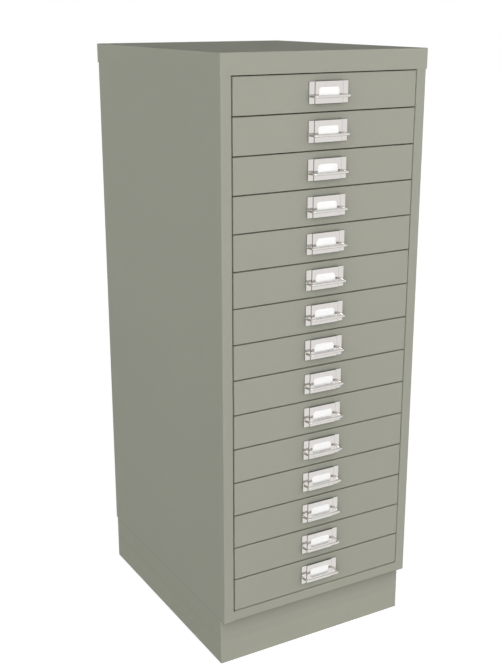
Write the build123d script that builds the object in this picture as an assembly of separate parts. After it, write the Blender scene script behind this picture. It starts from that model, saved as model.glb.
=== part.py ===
"""A tall steel cabinet of shallow drawers on a plinth.

Lengths are in millimetres. X runs across the cabinet, Y from its front to its back and Z up.
The origin is on the floor, in the middle of everything the cabinet covers.
"""

from build123d import *
import os

# Overall sizes, taken over the cap that closes the top
cabinet_width = 349.0
cabinet_depth = 428.0
cabinet_height = 940.0
plinth_height = 80.0
drawer_count = 15

# Thicknesses of the steel sheets
body_sheet = 1.0
cap_sheet = 1.0
back_sheet = 0.8
base_sheet = 1.0
plinth_sheet = 1.2
upright_sheet = 1.2
runner_sheet = 1.0
front_sheet = 1.0
tray_sheet = 0.8
handle_sheet = 0.8
card_thickness = 0.4

# Bends, measured on the middle of the sheet, and the softened edges of pressed pans
body_bend = 1.4
tray_bend = 1.6
runner_bend = 1.0
upright_bend = 2.0
handle_bend = 0.6
cap_edge_radius = 1.2
front_edge_radius = 0.8
plinth_corner_radius = 2.0

# Cap and the top sheet under it
cap_skirt = 30.0
top_flange = 14.0
cap_stud_radius = 2.5
cap_stud_length = 8.0
cap_stud_inset_x = 50.0
cap_stud_inset_y = 60.0
cap_nut_flats = 8.0
cap_nut_height = 4.0
bolt_hole_clearance = 0.25

# Front frame round the drawers
stile_width = 17.0
stile_return = 12.0
bottom_rail_height = 16.7
bottom_rail_depth = 14.0
rear_flange = 12.0

# Base and plinth
base_flange = 12.0
plinth_inset_front = 15.5
plinth_inset_side = 2.3
plinth_inset_back = 2.0
plinth_top_flange = 22.0
plinth_foot_flange = 12.0
plinth_bolt_radius = 3.0
plinth_bolt_inset_y = 60.0
plinth_bolt_head_flats = 10.0
plinth_bolt_head_height = 4.0
plinth_nut_height = 5.0
plinth_bolt_spare_thread = 1.5

# Drawers
front_gap = 1.5
front_return = 10.0
tray_height = 46.0
tray_flange_width = 4.0
tray_flange_thickness = 1.6
tray_back_gap = 2.0

# Runners, their uprights and the stops
runner_setback = 13.0
runner_running_gap = 0.3
runner_lip_gap = 1.0
runner_side_gap = 4.0
runner_stop_thickness = 1.0
closed_stop_gap = 0.5
stop_ear_gap = 0.5
stop_ear_length = 12.0
stop_ear_from_back = 80.0
open_stop_gap = 0.5
upright_width = 25.0
front_upright_setback = 32.0
rear_upright_setback = 60.0

# Handle: a pressed label holder with a round bar bent in front of it
holder_width = 66.0
holder_height = 30.8
holder_flange = 10.0
holder_raise = 1.6
handle_rise = 0.4
window_width = 35.0
window_height = 15.2
window_corner_radius = 4.5
bar_radius = 2.0
bar_reach = 13.1
bar_drop = 4.9
bar_front_span = 58.0
bar_root_span = 61.6
bar_bend = 3.5
stud_radius = 2.0
stud_hole_clearance = 0.2
stud_head_radius = 3.5
stud_head_height = 1.0
card_side_gap = 0.5
card_bottom_gap = 1.0
card_top_gap = 2.0

# Planes and half widths that several pieces share
handle_reach = bar_reach + bar_radius
cap_front = -(cabinet_depth + cap_sheet - handle_reach) / 2
cap_back = cap_front + cabinet_depth
body_front = cap_front + cap_sheet
body_back = cap_back - cap_sheet
cap_underside = cabinet_height - cap_sheet
body_half = cabinet_width / 2 - cap_sheet
side_inner = body_half - body_sheet
body_bend_inside = body_bend - body_sheet / 2
opening_half = body_half - stile_width
opening_top = cabinet_height - cap_skirt
rail_top = plinth_height + bottom_rail_height
back_inner = body_back - body_sheet - back_sheet

# Drawer sizes that follow from the opening
drawer_pitch = (opening_top - rail_top - front_gap) / drawer_count
front_height = drawer_pitch - front_gap
front_half = opening_half - front_gap
handle_middle = front_height / 2 + handle_rise
handle_stud_x = (holder_width - holder_flange) / 2
tray_half = front_half - tray_flange_width
tray_back = back_inner - tray_back_gap - body_front

# Runner sizes that follow from the tray
lip_half = tray_half + runner_lip_gap
web_inner = front_half + runner_side_gap
web_outer = web_inner + runner_sheet
slot_height = tray_flange_thickness + 2 * runner_running_gap
ear_half = web_inner - stop_ear_gap
ear_front = tray_back - stop_ear_from_back - stop_ear_length
travel = ear_front - runner_setback - runner_stop_thickness - open_stop_gap


def block(low, high):
    """A box between its lowest and its highest corner."""
    size = [b - a for a, b in zip(low, high)]
    middle = [(a + b) / 2 for a, b in zip(low, high)]
    return Pos(*middle) * Box(*size)


def folded(points, sheet, bend, plane, length):
    """Sheet bent along the points of its middle line, drawn out square to the plane."""
    path = FilletPolyline(*points, radius=bend)
    return extrude(plane * trace(path, line_width=sheet), length)


def hexagon(across_flats, height):
    """A nut or bolt head standing on Z = 0."""
    return extrude(RegularPolygon(across_flats / 2, 6, major_radius=False), height)


def upright_rod(radius, height):
    """A round bar standing on Z = 0."""
    return Pos(0, 0, height / 2) * Cylinder(radius, height)


def rod_along_y(radius, near, far):
    """A round bar from Y = near to Y = far."""
    return Pos(0, (near + far) / 2, 0) * Rot(90, 0, 0) * Cylinder(radius, far - near)


def four_places(x, y_front, y_back):
    """The places of four fasteners, a pair near the front and a pair near the back."""
    return [Pos(side * x, y, 0) for side in (-1, 1) for y in (y_front, y_back)]


def drawer_bottom(number):
    """Height of the lower edge of a drawer's front, counting down from 1 at the top."""
    return opening_top - number * drawer_pitch


cap_stud_places = four_places(
    cabinet_width / 2 - cap_stud_inset_x,
    cap_front + cap_stud_inset_y,
    cap_back - cap_stud_inset_y,
)
plinth_bolt_places = four_places(
    cabinet_width / 2 - plinth_inset_side - plinth_top_flange / 2,
    cap_front + plinth_inset_front + plinth_bolt_inset_y,
    cap_back - plinth_inset_back - plinth_bolt_inset_y,
)


def make_side_panel(side):
    """Side wall, folded round into the front stile and a narrow flange at the back."""
    half_sheet = body_sheet / 2
    wall_x = side * (body_half - half_sheet)
    front_y = body_front + half_sheet
    back_y = body_back - half_sheet
    back_end = (side * (body_half - rear_flange), back_y)
    return_x = side * (opening_half + half_sheet)
    beside_drawers = [
        (return_x, body_front + stile_return),
        (return_x, front_y),
        (wall_x, front_y),
        (wall_x, back_y),
        back_end,
    ]
    beside_rails = [(side * opening_half, front_y)] + beside_drawers[2:]
    spans = [
        (beside_rails, plinth_height, rail_top),
        (beside_drawers, rail_top, opening_top),
        (beside_rails, opening_top, cap_underside),
    ]
    panel = Part()
    for points, low, high in spans:
        panel += folded(points, body_sheet, body_bend, Plane.XY.offset(low), high - low)
    return panel


def make_back_panel():
    """Flat sheet behind the drawers, against the flanges of the side walls."""
    half = side_inner - body_bend_inside
    return block((-half, back_inner, plinth_height), (half, body_back - body_sheet, cap_underside))


def make_carcass_top():
    """Sheet that ties the side walls together, with its front edge closing the frame."""
    sheet_bottom = cap_underside - body_sheet
    flange_bottom = cap_underside - top_flange
    face_back = body_front + body_sheet
    front = face_back + body_bend_inside
    top = block((-side_inner, front, flange_bottom), (side_inner, back_inner, cap_underside))
    top -= block(
        (-side_inner + body_sheet, front, flange_bottom),
        (side_inner - body_sheet, back_inner - body_sheet, sheet_bottom),
    )
    top += block((-opening_half, body_front, sheet_bottom), (opening_half, front, cap_underside))
    top += block((-opening_half, body_front, opening_top), (opening_half, face_back, cap_underside))
    hole = upright_rod(cap_stud_radius + bolt_hole_clearance, body_sheet)
    for place in cap_stud_places:
        top -= place * Pos(0, 0, sheet_bottom) * hole
    return top


def make_top_cap():
    """Pressed cap with a skirt all round and four studs under it."""
    half = cabinet_width / 2
    cap = block((-half, cap_front, opening_top), (half, cap_back, cabinet_height))
    outer_edges = cap.edges().filter_by(Axis.Z) + cap.edges().group_by(Axis.Z)[-1]
    cap = fillet(outer_edges, cap_edge_radius)
    cap -= block((-body_half, body_front, opening_top), (body_half, body_back, cap_underside))
    stud = upright_rod(cap_stud_radius, cap_stud_length)
    for place in cap_stud_places:
        cap += place * Pos(0, 0, cap_underside - cap_stud_length) * stud
    return cap


def make_cap_nuts():
    """Nuts on the cap's studs, under the sheet that ties the sides."""
    nut = hexagon(cap_nut_flats, cap_nut_height)
    nut -= upright_rod(cap_stud_radius, cap_nut_height)
    height = cap_underside - body_sheet - cap_nut_height
    return [place * Pos(0, 0, height) * nut for place in cap_stud_places]


def make_base_pan():
    """Floor of the body, with its edges turned up."""
    front = body_front + bottom_rail_depth
    pan = block(
        (-side_inner, front, plinth_height),
        (side_inner, back_inner, plinth_height + base_flange),
    )
    pan -= block(
        (-side_inner + base_sheet, front + base_sheet, plinth_height + base_sheet),
        (side_inner - base_sheet, back_inner - base_sheet, plinth_height + base_flange),
    )
    hole = upright_rod(plinth_bolt_radius + bolt_hole_clearance, base_sheet)
    for place in plinth_bolt_places:
        pan -= place * Pos(0, 0, plinth_height) * hole
    return pan


def make_front_bottom_rail():
    """Folded rail across the front, under the lowest drawer."""
    half_sheet = body_sheet / 2
    face_y = body_front + half_sheet
    back_y = body_front + bottom_rail_depth
    points = [
        (back_y, rail_top - half_sheet),
        (face_y, rail_top - half_sheet),
        (face_y, plinth_height + half_sheet),
        (back_y, plinth_height + half_sheet),
    ]
    across = Plane.YZ.offset(-opening_half)
    return folded(points, body_sheet, body_bend, across, 2 * opening_half)


def make_plinth():
    """Folded skirt that the body stands on, with flanges turned in at its top and its foot."""
    half = cabinet_width / 2 - plinth_inset_side
    front = cap_front + plinth_inset_front
    back = cap_back - plinth_inset_back
    plinth = block((-half, front, 0), (half, back, plinth_height))
    plinth = fillet(plinth.edges().filter_by(Axis.Z), plinth_corner_radius)

    def hollow(inset, low, high):
        return block((-half + inset, front + inset, low), (half - inset, back - inset, high))

    plinth -= hollow(plinth_sheet, plinth_sheet, plinth_height - plinth_sheet)
    plinth -= hollow(plinth_foot_flange, 0, plinth_sheet)
    plinth -= hollow(plinth_top_flange, plinth_height - plinth_sheet, plinth_height)
    hole = upright_rod(plinth_bolt_radius + bolt_hole_clearance, plinth_sheet)
    for place in plinth_bolt_places:
        plinth -= place * Pos(0, 0, plinth_height - plinth_sheet) * hole
    return plinth


def make_plinth_bolts():
    """Bolts that come up through the plinth's top flange and the base."""
    grip = plinth_sheet + base_sheet
    shank = grip + plinth_nut_height + plinth_bolt_spare_thread
    bolt = hexagon(plinth_bolt_head_flats, plinth_bolt_head_height)
    bolt += Pos(0, 0, plinth_bolt_head_height) * upright_rod(plinth_bolt_radius, shank)
    height = plinth_height - plinth_sheet - plinth_bolt_head_height
    return [place * Pos(0, 0, height) * bolt for place in plinth_bolt_places]


def make_plinth_nuts():
    """Nuts on the plinth's bolts, standing on the base."""
    nut = hexagon(plinth_bolt_head_flats, plinth_nut_height)
    nut -= upright_rod(plinth_bolt_radius, plinth_nut_height)
    height = plinth_height + base_sheet
    return [place * Pos(0, 0, height) * nut for place in plinth_bolt_places]


def make_uprights(side):
    """The front and the rear channel that carry the runners of one side."""
    half_sheet = upright_sheet / 2
    web_x = side * (web_outer + half_sheet)
    foot_x = side * side_inner
    low = plinth_height + base_flange
    high = cap_underside - top_flange
    starts = (
        body_front + front_upright_setback,
        body_back - rear_upright_setback - upright_width,
    )
    channels = []
    for start in starts:
        near = start + half_sheet
        far = start + upright_width - half_sheet
        points = [(foot_x, near), (web_x, near), (web_x, far), (foot_x, far)]
        plane = Plane.XY.offset(low)
        channels.append(folded(points, upright_sheet, upright_bend, plane, high - low))
    return channels


def make_runner(side):
    """Channel that a drawer's flange slides in, with a stop tab at each end.

    Its height is measured from the lower edge of the drawer's front.
    """
    flange_top = front_sheet + tray_height
    slot_top = flange_top + runner_running_gap
    slot_bottom = slot_top - slot_height
    half_sheet = runner_sheet / 2
    lip_x = side * lip_half
    web_x = side * (web_inner + half_sheet)
    points = [
        (lip_x, slot_top + half_sheet),
        (web_x, slot_top + half_sheet),
        (web_x, slot_bottom - half_sheet),
        (lip_x, slot_bottom - half_sheet),
    ]
    start = body_front + runner_setback
    end = body_front + tray_back + closed_stop_gap + runner_stop_thickness
    back_plane = Plane.XZ.offset(-end)
    runner = folded(points, runner_sheet, runner_bend, back_plane, end - start)
    clear_of_flange = front_half + stop_ear_gap
    tabs = [
        (clear_of_flange, start, start + runner_stop_thickness),
        (lip_half, end - runner_stop_thickness, end),
    ]
    for inner, near, far in tabs:
        across = sorted((side * inner, side * (web_inner + half_sheet)))
        runner += block((across[0], near, slot_bottom), (across[1], far, slot_top))
    return runner


def make_drawer():
    """Drawer with its lower front edge at Z = 0 and its front face at Y = 0."""
    front = block((-front_half, 0, 0), (front_half, front_return, front_height))
    along_y = front.edges().filter_by(Axis.Y)
    front = fillet(along_y + front.edges().group_by(Axis.Y)[0], front_edge_radius)
    front -= block(
        (-front_half + front_sheet, front_sheet, front_sheet),
        (front_half - front_sheet, front_return, front_height - front_sheet),
    )
    floor_bottom = front_sheet
    rim = floor_bottom + tray_height
    half_sheet = tray_sheet / 2
    section = [
        (-tray_half + half_sheet, rim),
        (-tray_half + half_sheet, floor_bottom + half_sheet),
        (tray_half - half_sheet, floor_bottom + half_sheet),
        (tray_half - half_sheet, rim),
    ]
    tray_plane = Plane.XZ.offset(-tray_back)
    tray = folded(section, tray_sheet, tray_bend, tray_plane, tray_back - front_sheet)
    tray += block(
        (-tray_half + half_sheet, tray_back - tray_sheet, floor_bottom + half_sheet),
        (tray_half - half_sheet, tray_back, rim),
    )
    for side in (-1, 1):
        flange = sorted((side * (tray_half - half_sheet), side * front_half))
        ear = sorted((side * (front_half - half_sheet), side * ear_half))
        flange_bottom = rim - tray_flange_thickness
        tray += block((flange[0], front_return, flange_bottom), (flange[1], tray_back, rim))
        ear_back = ear_front + stop_ear_length
        tray += block((ear[0], ear_front, flange_bottom), (ear[1], ear_back, rim))
    drawer = front + tray
    hole = rod_along_y(stud_radius + stud_hole_clearance, 0, front_sheet)
    for side in (-1, 1):
        drawer -= Pos(side * handle_stud_x, 0, handle_middle) * hole
    return drawer


def make_label_holder():
    """Hat-shaped plate with a window; its back lies on Y = 0 and its middle at Z = 0."""
    half_sheet = handle_sheet / 2
    foot = -half_sheet
    face = -holder_raise - half_sheet
    end = holder_width / 2
    riser = end - holder_flange
    points = [(-end, foot), (-riser, foot), (-riser, face), (riser, face), (riser, foot), (end, foot)]
    low = Plane.XY.offset(-holder_height / 2)
    holder = folded(points, handle_sheet, handle_bend, low, holder_height)
    window = RectangleRounded(window_width, window_height, window_corner_radius)
    return holder - extrude(Plane.XZ * window, holder_raise + 2 * handle_sheet)


def make_bar():
    """Round bar across the front of the holder, its legs spreading towards the holder's ends."""
    root = bar_root_span / 2
    tip = bar_front_span / 2
    points = [(-root, 0), (-tip, -bar_reach), (tip, -bar_reach), (root, 0)]
    path = FilletPolyline(*points, radius=bar_bend)
    bar = sweep(Plane(path @ 0, z_dir=path % 0) * Circle(bar_radius), path)
    bar -= block(
        (-root - 2 * bar_radius, 0, -bar_radius),
        (root + 2 * bar_radius, bar_radius, bar_radius),
    )
    return Pos(0, 0, -bar_drop) * bar


def make_handle():
    """Holder and bar in one, with two studs riveted over behind the drawer's front."""
    handle = make_label_holder() + make_bar()
    stud = rod_along_y(stud_radius, -handle_sheet / 2, front_sheet)
    stud += rod_along_y(stud_head_radius, front_sheet, front_sheet + stud_head_height)
    for side in (-1, 1):
        handle += Pos(side * handle_stud_x, 0, 0) * stud
    return handle


def make_label_card():
    """Card that slips in behind the holder's window and lies against the sheet round it."""
    half = holder_width / 2 - holder_flange - handle_sheet / 2 - card_side_gap
    return block(
        (-half, -holder_raise, -holder_height / 2 + card_bottom_gap),
        (half, card_thickness - holder_raise, holder_height / 2 - card_top_gap),
    )


def save(name, shapes):
    """Write one node, which holds one solid or a group of separate ones."""
    shape = Compound(children=list(shapes)) if isinstance(shapes, list) else shapes
    export_step(shape, f"parts/{name}.step")


def save_body():
    """Write the pieces that stand still."""
    save("left_side_panel", make_side_panel(-1))
    save("right_side_panel", make_side_panel(1))
    save("back_panel", make_back_panel())
    save("carcass_top", make_carcass_top())
    save("top_cap", make_top_cap())
    save("cap_nuts", make_cap_nuts())
    save("base_pan", make_base_pan())
    save("front_bottom_rail", make_front_bottom_rail())
    save("plinth", make_plinth())
    save("plinth_bolts", make_plinth_bolts())
    save("plinth_nuts", make_plinth_nuts())
    for side, word in ((-1, "left"), (1, "right")):
        save(f"{word}_uprights", make_uprights(side))
        runner = make_runner(side)
        numbers = range(1, drawer_count + 1)
        save(f"{word}_runners", [Pos(0, 0, drawer_bottom(n)) * runner for n in numbers])


def save_drawers():
    """Write each drawer with its handle and card, counting down from the top."""
    drawer = make_drawer()
    handle = make_handle()
    card = make_label_card()
    for number in range(1, drawer_count + 1):
        place = Pos(0, body_front, drawer_bottom(number))
        middle = place * Pos(0, 0, handle_middle)
        save(f"drawer_{number:02d}", place * drawer)
        save(f"handle_{number:02d}", middle * handle)
        save(f"label_card_{number:02d}", middle * card)


os.makedirs("parts", exist_ok=True)
save_body()
save_drawers()
print(f"drawer travel {travel:.2f} mm, drawer pitch {drawer_pitch:.3f} mm")
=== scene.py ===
"""Looks of the drawer cabinet: powder coat, chrome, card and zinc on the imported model, in a white studio.

Lengths are in metres. X runs across the cabinet, Y from its front to its back and Z up.
"""

import math

import bpy
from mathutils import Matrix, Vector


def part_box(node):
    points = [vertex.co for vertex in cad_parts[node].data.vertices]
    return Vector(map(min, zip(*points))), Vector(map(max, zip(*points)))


# Camera, at the photograph's angle
camera_place = (-0.8655, -1.48935, 0.9972)
camera_down = 16.95
camera_turn = 29.88
camera_lens = 57.78
camera_sensor = 36.0

# Light from all round: its level at the horizon, how fast it falls overhead, and how much more of it
# comes from ahead, turned towards the cabinet's left
horizon_level = 1.70
overhead_fall = 5.0
front_bias = 1.0
front_turn = 20.0

# Lamps with their level and turn, and a white floor
lamps = (("key", 0.11, 22.0), ("right_fill", 0.27, -100.0), ("back_fill", 0.25, 185.0))
lamp_height = 8.0
lamp_spread = 15.0
white_floor_glow = 0.90
white_floor_shade = 0.36
floor_bounce = 0.92
floor_size = 24.0

# Paint: sage grey powder coat
paint_colour = (0.361, 0.366, 0.305)
paint_roughness = 0.66
paint_roughness_drift = 0.05
paint_shine = 0.03
paint_peel_scale = 620.0
paint_peel_depth = 0.00004
paint_drift = 0.012
# Painted highlight along the sheet's edges: how far in from an edge it reaches, and how much brighter it
# makes the colour there
paint_edge_radius = 0.0009
paint_edge_highlight_gain = 1.07

# Painted shade in the colour, in corners and beside pieces that stand proud: how far it reaches and how
# deep it is
paint_shade = (0.05, 1.8)
chrome_shade = (0.0014, 2.2)

# Bands where that shade sets in: heights, distances from the middle, and depths behind the front
plinth_shade_band = (0.035, 0.055)
chrome_shade_bands = ((0.0195, 0.0215), (0.0275, 0.0262))
front_shade_band = (0.0006, 0.0001)

# Chrome plate of the handles
chrome_colour = (0.697, 0.672, 0.649)
chrome_roughness = 0.07
chrome_roughness_drift = 0.02
chrome_wave_scale = 60.0
chrome_wave_depth = 0.000006

# Card of the labels
card_colour = (0.96, 0.96, 0.95)
card_fibre_scale = 1500.0
card_fibre_depth = 0.00002

# Zinc plate of the fasteners, uprights and runners
zinc_colour = (0.50, 0.51, 0.51)
zinc_roughness = 0.34
zinc_mottle_scale = 90.0
zinc_rolling_scale = 700.0
zinc_rolling_depth = 0.00002

# Softened edges of the handle's sheet
handle_edge = 0.00018
handle_edge_angle = 35.0

painted_nodes = (
    "left_side_panel",
    "right_side_panel",
    "back_panel",
    "carcass_top",
    "top_cap",
    "base_pan",
    "front_bottom_rail",
)
zinc_nodes = (
    "cap_nuts",
    "plinth_bolts",
    "plinth_nuts",
    "left_uprights",
    "right_uprights",
    "left_runners",
    "right_runners",
)


def new_material(name):
    """A material with a Principled shader, its node tree and the shader."""
    material = bpy.data.materials.new(name)
    material.use_nodes = True
    return material, material.node_tree, material.node_tree.nodes["Principled BSDF"]


def add_node(tree, kind, settings=None, values=None):
    """A new node with its settings and the values of its sockets."""
    node = tree.nodes.new(kind)
    for name, value in (settings or {}).items():
        setattr(node, name, value)
    for name, value in (values or {}).items():
        node.inputs[name].default_value = value
    return node


def noise(tree, scale, detail=2.0, stretch=(1.0, 1.0, 1.0)):
    """Noise between about 0.3 and 0.7, fixed to the piece it is on."""
    place = add_node(tree, "ShaderNodeTexCoord")
    mapping = add_node(tree, "ShaderNodeMapping", values={"Scale": stretch})
    texture = add_node(tree, "ShaderNodeTexNoise", values={"Scale": scale, "Detail": detail})
    tree.links.new(place.outputs["Object"], mapping.inputs["Vector"])
    tree.links.new(mapping.outputs["Vector"], texture.inputs["Vector"])
    return texture.outputs["Fac"]


def spread(tree, source, low, high, start=0.3, end=0.7):
    """The source's range from start to end, carried to low to high."""
    values = {"From Min": start, "From Max": end, "To Min": low, "To Max": high}
    node = add_node(tree, "ShaderNodeMapRange", values=values)
    tree.links.new(source, node.inputs["Value"])
    return node.outputs["Result"]


def times(tree, one, other):
    """The product of two outputs."""
    node = add_node(tree, "ShaderNodeMath", {"operation": "MULTIPLY"})
    tree.links.new(one, node.inputs[0])
    tree.links.new(other, node.inputs[1])
    return node.outputs[0]


def shaded(tree, colour, level):
    """A colour times a level from the nodes."""
    node = add_node(tree, "ShaderNodeVectorMath", {"operation": "SCALE"})
    node.inputs[0].default_value = colour
    tree.links.new(level, node.inputs["Scale"])
    return node.outputs["Vector"]


def grey(level):
    """An opaque grey, white at 1."""
    return (level, level, level, 1.0)


def bump(tree, height, depth):
    """A normal that follows a height from the nodes, depth metres deep."""
    node = add_node(tree, "ShaderNodeBump", values={"Strength": 1.0, "Distance": depth})
    tree.links.new(height, node.inputs["Height"])
    return node.outputs["Normal"]


def painted_edge_highlight(tree, radius, gain):
    """A painted highlight: 1 on flat sheet, up to gain within radius of an edge."""
    rounded = add_node(tree, "ShaderNodeBevel", {"samples": 4}, {"Radius": radius})
    flat = add_node(tree, "ShaderNodeNewGeometry")
    dot = add_node(tree, "ShaderNodeVectorMath", {"operation": "DOT_PRODUCT"})
    tree.links.new(rounded.outputs["Normal"], dot.inputs[0])
    tree.links.new(flat.outputs["Normal"], dot.inputs[1])
    return spread(tree, dot.outputs["Value"], gain, 1.0, 0.75, 0.995)


def power(tree, base, exponent):
    """An output raised to a fixed power."""
    node = add_node(tree, "ShaderNodeMath", {"operation": "POWER"})
    tree.links.new(base, node.inputs[0])
    node.inputs[1].default_value = exponent
    return node.outputs[0]


def corner_shade(tree, reach, depth):
    """A painted shade level: 1 on an open surface, less in corners and close to pieces that stand proud."""
    open_part = add_node(tree, "ShaderNodeAmbientOcclusion", {"samples": 12}, {"Distance": reach})
    return power(tree, open_part.outputs["AO"], depth)


def within(tree, level, axis, bands, mirrored=False):
    """The level at some places along an axis, and 1 elsewhere.

    Each band is the place where the level starts and the one where it is full. Mirrored bands hold
    on both sides of the cabinet's middle.
    """
    place = add_node(tree, "ShaderNodeTexCoord")
    parts = add_node(tree, "ShaderNodeSeparateXYZ")
    tree.links.new(place.outputs["Object"], parts.inputs[0])
    along = parts.outputs[axis]
    if mirrored:
        distance = add_node(tree, "ShaderNodeMath", {"operation": "ABSOLUTE"})
        tree.links.new(along, distance.inputs[0])
        along = distance.outputs[0]
    shares = [spread(tree, along, 0.0, 1.0, *band) for band in bands]
    share = shares[0]
    for other in shares[1:]:
        share = times(tree, share, other)
    mix = add_node(tree, "ShaderNodeMix", {"data_type": "FLOAT"})
    mix.inputs["A"].default_value = 1.0
    tree.links.new(share, mix.inputs["Factor"])
    tree.links.new(level, mix.inputs["B"])
    return mix.outputs["Result"]


def make_paint(name, drift_scale, shade_band=None):
    """Powder coat with a fine orange peel, a slow drift of tone and a painted highlight along the edges.

    The shade band is an axis and the two places on it between which the painted shade in corners sets in.
    """
    material, tree, shader = new_material(name)
    drift = spread(tree, noise(tree, drift_scale), 1 - paint_drift, 1 + paint_drift)
    grain = spread(tree, noise(tree, paint_peel_scale, 3.0), 1 - paint_drift, 1 + paint_drift)
    # The tone takes a painted highlight along every edge
    tone = times(tree, times(tree, drift, grain), painted_edge_highlight(tree, paint_edge_radius, paint_edge_highlight_gain))
    # Painted shade in corners, set into the colour only within the band
    if shade_band:
        axis, *band = shade_band
        shade = within(tree, corner_shade(tree, *paint_shade), axis, [band])
        tone = times(tree, tone, shade)
    tree.links.new(shaded(tree, paint_colour, tone), shader.inputs["Base Color"])
    low, high = paint_roughness - paint_roughness_drift, paint_roughness + paint_roughness_drift
    tree.links.new(spread(tree, noise(tree, 26.0, 4.0), low, high), shader.inputs["Roughness"])
    shader.inputs["Specular IOR Level"].default_value = paint_shine
    peel = bump(tree, noise(tree, paint_peel_scale, 2.0), paint_peel_depth)
    tree.links.new(peel, shader.inputs["Normal"])
    return material


def make_chrome():
    """Bright plate with faint polishing marks, a slight waviness and painted shade along both risers of the
    raised middle.
    """
    material, tree, shader = new_material("bright_chrome")
    shader.inputs["Metallic"].default_value = 1.0
    polish = spread(tree, noise(tree, 160.0, 3.0), 0.99, 1.01)
    # Painted shade in the colour, in a band along each riser where the raised middle meets the flanges
    shade = within(tree, corner_shade(tree, *chrome_shade), "X", chrome_shade_bands, mirrored=True)
    tone = times(tree, polish, shade)
    tree.links.new(shaded(tree, chrome_colour, tone), shader.inputs["Base Color"])
    marks = noise(tree, 900.0, 2.0, (0.06, 1.0, 1.0))
    low, high = chrome_roughness - chrome_roughness_drift, chrome_roughness + chrome_roughness_drift
    tree.links.new(spread(tree, marks, low, high), shader.inputs["Roughness"])
    waves = bump(tree, noise(tree, chrome_wave_scale, 1.0), chrome_wave_depth)
    tree.links.new(waves, shader.inputs["Normal"])
    return material


def make_card():
    """Uncoated white card with faint fibres."""
    material, tree, shader = new_material("label_card")
    fibres = noise(tree, card_fibre_scale, 4.0, (1.0, 1.0, 0.35))
    clouds = spread(tree, noise(tree, 180.0, 2.0), 0.99, 1.01)
    tone = times(tree, spread(tree, fibres, 0.985, 1.015), clouds)
    tree.links.new(shaded(tree, card_colour, tone), shader.inputs["Base Color"])
    shader.inputs["Roughness"].default_value = 0.85
    shader.inputs["Specular IOR Level"].default_value = 0.2
    tree.links.new(bump(tree, fibres, card_fibre_depth), shader.inputs["Normal"])
    return material


def make_zinc():
    """Zinc plate with soft mottling and rolling marks along the sheet."""
    material, tree, shader = new_material("zinc_steel")
    shader.inputs["Metallic"].default_value = 1.0
    mottling = noise(tree, zinc_mottle_scale, 3.0)
    rolling = noise(tree, zinc_rolling_scale, 2.0, (1.0, 0.05, 1.0))
    tone = times(tree, spread(tree, mottling, 0.9, 1.1), spread(tree, rolling, 0.95, 1.05))
    tree.links.new(shaded(tree, zinc_colour, tone), shader.inputs["Base Color"])
    rough = spread(tree, mottling, zinc_roughness - 0.06, zinc_roughness + 0.1)
    tree.links.new(rough, shader.inputs["Roughness"])
    tree.links.new(bump(tree, rolling, zinc_rolling_depth), shader.inputs["Normal"])
    return material


def coat(node, material):
    """Give a node of the model one material all over."""
    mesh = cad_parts[node].data
    mesh.materials.clear()
    mesh.materials.append(material)


def coat_everything():
    """Give every node of the model its material."""
    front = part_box("drawer_01")[0][1]
    front_band = [front + depth for depth in front_shade_band]
    body_paint = make_paint("body_paint", 3.0)
    # The plinth's paint gets painted shade under the body's overhang, and the drawers' paint gets painted
    # shade on the fronts, beside the handles and along the gaps
    plinth_paint = make_paint("plinth_paint", 3.0, ("Z", *plinth_shade_band))
    drawer_paint = make_paint("drawer_paint", 5.0, ("Y", *front_band))
    chrome = make_chrome()
    card = make_card()
    zinc = make_zinc()
    for node in painted_nodes:
        coat(node, body_paint)
    coat("plinth", plinth_paint)
    for node in zinc_nodes:
        coat(node, zinc)
    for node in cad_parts:
        if node.startswith("drawer_"):
            coat(node, drawer_paint)
        elif node.startswith("handle_"):
            coat(node, chrome)
        elif node.startswith("label_card_"):
            coat(node, card)


def soften_handle_edges():
    """Round the sheet's cut edges on every handle, as tumbling before the plating does."""
    for node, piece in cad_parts.items():
        if node.startswith("handle_"):
            edge = piece.modifiers.new("edge", "BEVEL")
            edge.width = handle_edge
            edge.segments = 2
            edge.limit_method = "ANGLE"
            edge.angle_limit = math.radians(handle_edge_angle)
            edge.harden_normals = True


def seen_or_mirrored(tree):
    """1 for rays from the camera and for rays that a mirror or glass sends on, 0 for the rest."""
    path = add_node(tree, "ShaderNodeLightPath")
    total = path.outputs["Is Camera Ray"]
    for name in ("Is Glossy Ray", "Is Transmission Ray"):
        node = add_node(tree, "ShaderNodeMath", {"operation": "MAXIMUM"})
        tree.links.new(total, node.inputs[0])
        tree.links.new(path.outputs[name], node.inputs[1])
        total = node.outputs[0]
    return total


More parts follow.
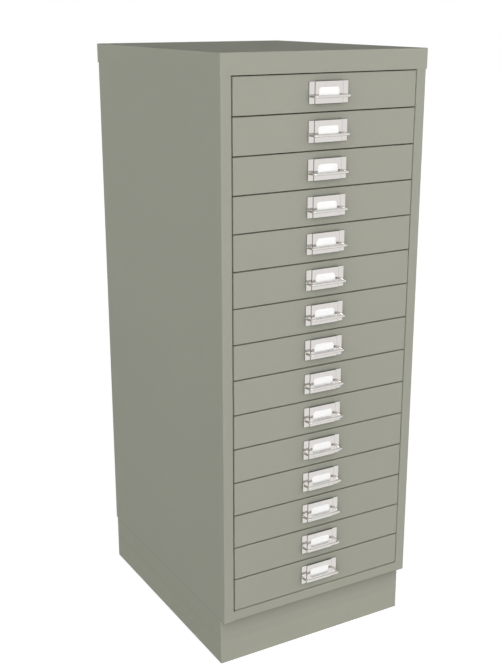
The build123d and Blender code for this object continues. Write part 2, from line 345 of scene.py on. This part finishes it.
def make_world():
    """Soft light from all round, dimmer overhead and brighter ahead; plain white in mirrors."""
    world = bpy.data.worlds.new("studio")
    world.use_nodes = True
    tree = world.node_tree
    tree.nodes.clear()
    direction = add_node(tree, "ShaderNodeTexCoord")
    parts = add_node(tree, "ShaderNodeSeparateXYZ")
    tree.links.new(direction.outputs["Generated"], parts.inputs[0])
    up = times(tree, parts.outputs["Z"], parts.outputs["Z"])
    falling = power(tree, spread(tree, up, 1.0, 0.0, 0.0, 1.0), overhead_fall)
    turn = math.radians(front_turn)
    ahead = add_node(tree, "ShaderNodeVectorMath", {"operation": "DOT_PRODUCT"})
    ahead.inputs[1].default_value = (-math.sin(turn), -math.cos(turn), 0.0)
    tree.links.new(direction.outputs["Generated"], ahead.inputs[0])
    brighter_ahead = spread(tree, ahead.outputs["Value"], 1 - front_bias, 1 + front_bias, -1.0, 1.0)
    level = times(tree, falling, brighter_ahead)
    light = add_node(tree, "ShaderNodeBackground", values={"Strength": horizon_level})
    tree.links.new(shaded(tree, (1.0, 1.0, 1.0), level), light.inputs["Color"])
    white = add_node(tree, "ShaderNodeBackground", values={"Color": grey(1.0)})
    mix = add_node(tree, "ShaderNodeMixShader")
    tree.links.new(seen_or_mirrored(tree), mix.inputs[0])
    tree.links.new(light.outputs[0], mix.inputs[1])
    tree.links.new(white.outputs[0], mix.inputs[2])
    output = add_node(tree, "ShaderNodeOutputWorld")
    tree.links.new(mix.outputs[0], output.inputs["Surface"])
    bpy.context.scene.world = world


def make_floor():
    """White floor that runs into the white background and keeps the cabinet's soft shadow."""
    mesh = bpy.data.meshes.new("studio_floor")
    half = floor_size / 2
    corners = [(-half, -half, 0), (half, -half, 0), (half, half, 0), (-half, half, 0)]
    mesh.from_pydata(corners, [], [(0, 1, 2, 3)])
    floor = bpy.data.objects.new("studio_floor", mesh)
    bpy.context.scene.collection.objects.link(floor)
    material = bpy.data.materials.new("studio_floor")
    material.use_nodes = True
    tree = material.node_tree
    tree.nodes.clear()
    matt = add_node(tree, "ShaderNodeBsdfDiffuse", values={"Color": grey(floor_bounce)})
    shade = add_node(tree, "ShaderNodeBsdfDiffuse", values={"Color": grey(white_floor_shade)})
    glow = add_node(tree, "ShaderNodeEmission", values={"Strength": white_floor_glow})
    shown = add_node(tree, "ShaderNodeAddShader")
    tree.links.new(shade.outputs[0], shown.inputs[0])
    tree.links.new(glow.outputs[0], shown.inputs[1])
    mix = add_node(tree, "ShaderNodeMixShader")
    tree.links.new(seen_or_mirrored(tree), mix.inputs[0])
    tree.links.new(matt.outputs[0], mix.inputs[1])
    tree.links.new(shown.outputs[0], mix.inputs[2])
    output = add_node(tree, "ShaderNodeOutputMaterial")
    tree.links.new(mix.outputs[0], output.inputs["Surface"])
    mesh.materials.append(material)


def add_sun(name, level, turn):
    """A soft lamp far away, turned from straight in front of the cabinet towards its left."""
    lamp = bpy.data.lights.new(name, "SUN")
    lamp.energy = level * math.pi
    lamp.angle = math.radians(lamp_spread)
    sun = bpy.data.objects.new(name, lamp)
    sun.rotation_euler = (math.radians(90 - lamp_height), 0, math.radians(-turn))
    bpy.context.scene.collection.objects.link(sun)


def add_camera():
    """The camera that the photograph was taken from."""
    data = bpy.data.cameras.new("photo_camera")
    data.lens = camera_lens
    data.sensor_width = camera_sensor
    camera = bpy.data.objects.new("photo_camera", data)
    camera.location = camera_place
    camera.rotation_euler = (math.radians(90 - camera_down), 0, math.radians(-camera_turn))
    bpy.context.scene.collection.objects.link(camera)
    bpy.context.scene.camera = camera


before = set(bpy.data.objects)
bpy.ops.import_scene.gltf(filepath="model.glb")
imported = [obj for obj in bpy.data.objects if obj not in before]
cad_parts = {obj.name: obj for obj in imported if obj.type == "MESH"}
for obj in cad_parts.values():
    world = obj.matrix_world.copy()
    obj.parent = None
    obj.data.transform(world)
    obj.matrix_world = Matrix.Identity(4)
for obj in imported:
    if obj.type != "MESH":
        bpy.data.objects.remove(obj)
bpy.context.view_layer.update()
coat_everything()
soften_handle_edges()
make_world()
make_floor()
for name, level, turn in lamps:
    add_sun(name, level, turn)
add_camera()
bpy.context.scene.view_settings.view_transform = "Standard"
